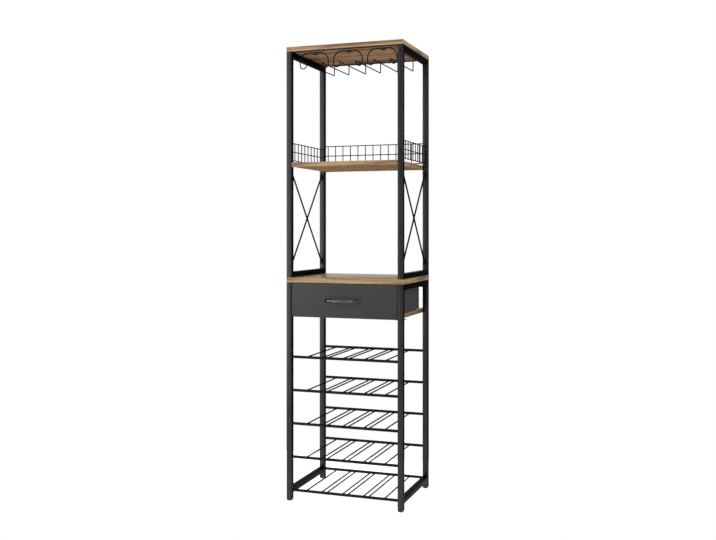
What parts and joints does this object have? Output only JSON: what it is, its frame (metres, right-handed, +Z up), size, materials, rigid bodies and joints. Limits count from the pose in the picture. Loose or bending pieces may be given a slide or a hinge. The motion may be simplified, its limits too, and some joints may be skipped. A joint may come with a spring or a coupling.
{
  "type": "wine_rack_tower",
  "caption": "Open steel-frame wine rack tower with wooden shelves, a drawer under the counter, wire bottle racks below and hanging glass holders under the top board",
  "frame": {"origin": "on the floor, at the middle of the outer box", "axes": "+X to the viewer's right facing the drawer, +Y to the back, +Z up; the drawer opens towards -Y"},
  "size_m": [0.4428, 0.372, 1.64],
  "materials": {
    "frame_steel": "matt anthracite powder coat",
    "wire_steel": "matt black powder coat",
    "board_wood": "light brown wood grain, satin",
    "drawer_panel": "matt anthracite paint",
    "handle_chrome": "polished",
    "foot_plastic": "black",
    "clip_plastic": "black",
    "glide_nylon": "natural nylon",
    "dowel_wood": "bare beech",
    "fastener_steel": "black oxide"
  },
  "bodies": {
    "frame": {"brace_left_falling": "wire_steel", "brace_left_rising": "wire_steel", "brace_right_falling": "wire_steel", "brace_right_rising": "wire_steel", "brace_screws": "fastener_steel", "counter_board": "board_wood", "drawer_shelf": "board_wood", "drawer_shelf_brackets": "frame_steel", "foot_front_left": "foot_plastic", "foot_front_right": "foot_plastic", "foot_rear_left": "foot_plastic", "foot_rear_right": "foot_plastic", "frame_joint_bolts": "fastener_steel", "frame_joint_nuts": "fastener_steel", "glass_hanger_bar": "wire_steel", "glass_hanger_clips": "clip_plastic", "glass_hanger_left": "wire_steel", "glass_hanger_middle": "wire_steel", "glass_hanger_right": "wire_steel", "guard_back": "wire_steel", "guard_left": "wire_steel", "guard_right": "wire_steel", "lower_post_front_left": "frame_steel", "lower_post_front_right": "frame_steel", "lower_post_rear_left": "frame_steel", "lower_post_rear_right": "frame_steel", "lower_rail_bottom_left": "frame_steel", "lower_rail_bottom_right": "frame_steel", "lower_rail_top_left": "frame_steel", "lower_rail_top_right": "frame_steel", "rack_bolts": "fastener_steel", "shelf_screws": "fastener_steel", "small_wood_screws": "fastener_steel", "top_board": "board_wood", "top_board_screws": "fastener_steel", "top_front_strip": "frame_steel", "upper_post_front_left": "frame_steel", "upper_post_front_right": "frame_steel", "upper_post_rear_left": "frame_steel", "upper_post_rear_right": "frame_steel", "upper_rail_bottom_left": "frame_steel", "upper_rail_bottom_right": "frame_steel", "upper_rail_top_left": "frame_steel", "upper_rail_top_right": "frame_steel", "upper_shelf": "board_wood", "wine_rack_1": "wire_steel", "wine_rack_2": "wire_steel", "wine_rack_3": "wire_steel", "wine_rack_4": "wire_steel", "wine_rack_5": "wire_steel"},
    "drawer": {"drawer_back": "drawer_panel", "drawer_back_screws": "fastener_steel", "drawer_bottom": "drawer_panel", "drawer_dowels": "dowel_wood", "drawer_front": "drawer_panel", "drawer_glides": "glide_nylon", "drawer_handle": "handle_chrome", "drawer_side_left": "drawer_panel", "drawer_side_right": "drawer_panel", "handle_screws": "fastener_steel"}
  },
  "joints": [
    {"name": "drawer_slide", "type": "slide", "parent": "frame", "child": "drawer", "axis": [0, -1, 0], "range_m": [0, 0.2]}
  ]
}
